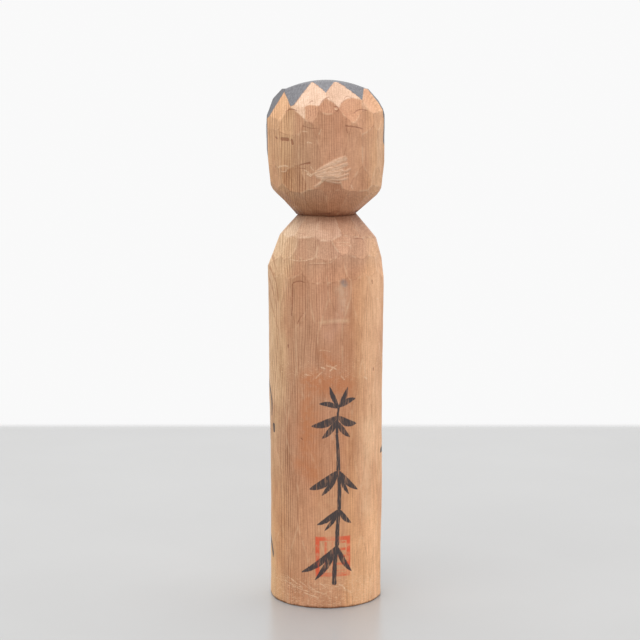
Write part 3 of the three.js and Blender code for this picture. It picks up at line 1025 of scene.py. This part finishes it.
def body_material():
    material, place, colour, height = wood_material("body_wood")
    back = unrolled(place, 0.25)
    face_side = unrolled(place, 0.3, True)
    across, _, rising = parts_of(place)
    shoulder = remap(rising, 190, 206)
    colour = tint(colour, shoulder, (0.98, 1.04, 1.1))
    colour = tint(colour, shoulder * remap(across, 0, 18), (1.0, 1.07, 1.14))
    patchy = remap(noise(place, (0.4, 0.4, 0.3), 65), 0.36, 0.56, 0.45, 1.0)
    for rows, soft, most, shade in BODY_STAINS:
        stain = cover(stroke_distance(back, rows), soft, most) * patchy
        colour = paint(colour, stain, shade)
    colour, height = scars(place, colour, height, back, BODY_DARK, BODY_PALE)
    colour = nicks(place, colour)
    colour = foot_darkening(place, colour)
    # painted shade on the top of the body, deepening towards the neck seam below the head
    colour = seam_shade(place, colour, 214, 225.5)
    colour = paint(colour, stamp(place, back), STAMP_RED)
    flower = brushed(place, stroke_distance(face_side, petals()), 0.85)
    colour = paint(colour, flower, PETAL_RED)
    back_ink = stroke_distance(back, SPRIG_STEM + SPRIG_LEAVES)
    heart = (*FLOWER_CENTRE, FLOWER_CENTRE[0] + 0.1, FLOWER_CENTRE[1], 0, 2.0, 2.0)
    face_ink = stroke_distance(face_side, FACE_SIDE_LEAVES + [heart])
    ink = brushed(place, calc("MINIMUM", back_ink, face_ink))
    colour = paint(colour, ink, INK)
    return finish_wood(material, colour, height, calc("MULTIPLY_ADD", ink, -0.12, 0.64))


def head_material():
    material, place, colour, height = wood_material("head_wood")
    back = unrolled(place, 0.25)
    face_side = unrolled(place, 0.15, True)
    across, _, rising = parts_of(place)
    # painted shade darkens and reddens the left of the head, and painted light makes its right paler
    colour = tint(colour, remap(across, -12, -27), (0.92, 0.83, 0.77))
    colour = tint(colour, remap(across, -8, 28), (1.06, 1.15, 1.2))
    # painted shade under the chin, strongest on the left
    under_chin_shade = remap(rising, 240, 229, 0.0, 0.55) * remap(across, 6, 20, 1.0, 0.3)
    colour = tint(colour, under_chin_shade, (0.7, 0.53, 0.38))
    colour, height = scars(place, colour, height, back, HEAD_DARK, HEAD_PALE)
    # painted shade on the bottom of the head, deepening towards the neck seam
    colour = seam_shade(place, colour, 229.5, 223.0)

    torn = cover(stroke_distance(back, TORN_FIBRES), 0.7)
    fibres = noise(back, (0.35, 2.4, 1), 23)
    torn_colour = ramp(fibres, [(0.3, linear(196, 150, 116)), (0.48, linear(216, 176, 144)),
                                (0.68, linear(234, 202, 174))])
    colour = mix(torn * 0.72, colour, torn_colour)
    height = height + torn * (fibres * 0.8)

    drawn = brushed(place, stroke_distance(face_side, OTHER_EYE + EYE + NOSE))
    colour = paint(colour, drawn, INK)
    lips = brushed(place, stroke_distance(face_side, LIPS), 0.85)
    colour = paint(colour, lips, PETAL_RED)

    ragged_edge = noise(place, (1.4, 1.4, 0.5), 61)
    inside = calc("MULTIPLY_ADD", ragged_edge - 0.5, 0.5, attribute(material.node_tree, "hair"))
    painted = remap(inside, -0.06, 0.12)
    specks = remap(noise(place, (0.9, 0.9, 0.5), 37, 4.0, 0.75), 0.68, 0.74, 0.0, 0.55)
    painted = painted * (1.0 - specks)
    brushing = noise(place, (0.9, 0.9, 0.12), 43)
    hair_colour = ramp(brushing, [(0.35, linear(70, 69, 74)), (0.65, linear(96, 95, 100))])
    colour = mix(painted, colour, hair_colour)
    return finish_wood(material, colour, height, calc("MULTIPLY_ADD", painted, -0.16, 0.62))


def peg_material():
    """Turned wood with its grain along the peg and burnished rings from turning."""
    material = new_material("peg_wood")
    place = millimetres(material.node_tree)
    grain = noise(place, (0.9, 0.9, 0.05), 4)
    turned = noise(place, (0.05, 0.05, 2.2), 8, 2.0, 0.5)
    colour = ramp(grain, [(0.3, linear(190, 146, 100)), (0.5, linear(216, 176, 130)),
                          (0.7, linear(230, 196, 152))])
    burnish = remap(turned, 0.55, 0.7, 0.0, 0.35)
    colour = paint(colour, burnish, (150, 104, 66))
    height = grain * 0.05 + turned * 0.04
    return finish_wood(material, colour, height, calc("MULTIPLY_ADD", burnish, -0.3, 0.58))


body = make_body()
head = make_head()
body.data.materials.append(body_material())
head.data.materials.append(head_material())
for piece, node, body_name, slot in [
    (body, "body", "trunk", "body_wood"),
    (head, "head", "head", "head_wood"),
]:
    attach(piece, body_name)
    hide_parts(node)

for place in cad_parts["neck_dowel"].material_slots:
    place.material = peg_material()


# ---- Floor, light and camera ----
FLOOR_BACK = 0.5
FLOOR_FRONT = 4.0
FLOOR_SIDE = 1.6
FLOOR_SOFT_EDGE = 0.025
FLOOR_CORNER = 8           # how square the floor's outline is


def floor_material():
    """Pale satin board that fades out at its edge."""
    material = new_material("pale_floor")
    tree = material.node_tree
    shader = tree.nodes["Principled BSDF"]
    mottle = noise(coordinates(tree), (9, 9, 9), 0, 2.0, 0.5)
    colour = ramp(mottle, [(0.3, (0.35, 0.35, 0.348)), (0.7, (0.362, 0.362, 0.36))])
    feed(shader.inputs["Base Color"], colour)
    feed(shader.inputs["Roughness"], 0.26)
    clear = Wire(tree.nodes.new("ShaderNodeBsdfTransparent").outputs[0])
    fade = remap(attribute(tree, "edge"), 0.0, 1.0)
    mixed = add("ShaderNodeMixShader", {0: fade, 1: Wire(shader.outputs[0]), 2: clear})
    feed(tree.nodes["Material Output"].inputs["Surface"], mixed)
    return material


def make_stage():
    """A floor with rounded corners, wide to the sides and the front, and its fading border."""
    count = 256
    turn = around(count)
    flat, up = np.cos(turn), np.sin(turn)
    square = (np.abs(flat)**FLOOR_CORNER + np.abs(up)**FLOOR_CORNER)**(-1 / FLOOR_CORNER)
    rings = []
    for border in (FLOOR_SOFT_EDGE, 0):
        x = flat * square * (FLOOR_SIDE - border)
        y = up * square * np.where(up > 0, FLOOR_BACK - border, FLOOR_FRONT - border)
        rings.append(np.stack([x, y, 0 * x], -1).tolist())
    inner = list(range(count))
    band = [(i, count + i, count + (i + 1) % count, (i + 1) % count) for i in inner]
    mesh = bpy.data.meshes.new("floor")
    mesh.from_pydata(rings[0] + rings[1], [], [inner] + band)
    edge = mesh.attributes.new("edge", "FLOAT", "POINT")
    edge.data.foreach_set("value", [0.0] * count + [1.0] * count)
    floor = bpy.data.objects.new("floor", mesh)
    bpy.context.collection.objects.link(floor)
    floor.data.materials.append(floor_material())


def area_light(name, place, target, width, height, watts):
    light = bpy.data.lights.new(name, "AREA")
    light.shape = "RECTANGLE"
    light.size = width
    light.size_y = height
    light.energy = watts
    lamp = bpy.data.objects.new(name, light)
    lamp.location = place
    lamp.rotation_euler = (Vector(target) - Vector(place)).to_track_quat("-Z", "Y").to_euler()
    bpy.context.collection.objects.link(lamp)


def make_light():
    world = bpy.data.worlds.new("studio")
    world.use_nodes = True
    background = world.node_tree.nodes["Background"]
    background.inputs["Color"].default_value = (1, 1, 1, 1)
    background.inputs["Strength"].default_value = 0.95
    bpy.context.scene.world = world
    bpy.context.scene.view_settings.view_transform = "Standard"
    area_light("key_light", (-0.35, -0.6, 1.25), (0, 0, 0.15), 1.2, 1.0, 9)
    area_light("side_light", (1.3, -0.15, 0.5), (0, 0, 0.15), 0.7, 0.9, 3.1)
    area_light("top_light", (0.0, 0.45, 1.35), (0, 0, 0.25), 1.4, 0.9, 12)


CAMERA_PLACE = (-0.0034, -0.99, 0.303)
CAMERA_DOWN = 8.1          # degrees below level


def make_camera():
    data = bpy.data.cameras.new("camera")
    data.lens = 97.5
    data.sensor_width = 36
    camera = bpy.data.objects.new("camera", data)
    camera.location = CAMERA_PLACE
    camera.rotation_euler = (math.radians(90 - CAMERA_DOWN), 0, 0)
    bpy.context.collection.objects.link(camera)
    bpy.context.scene.camera = camera


make_stage()
make_light()
make_camera()
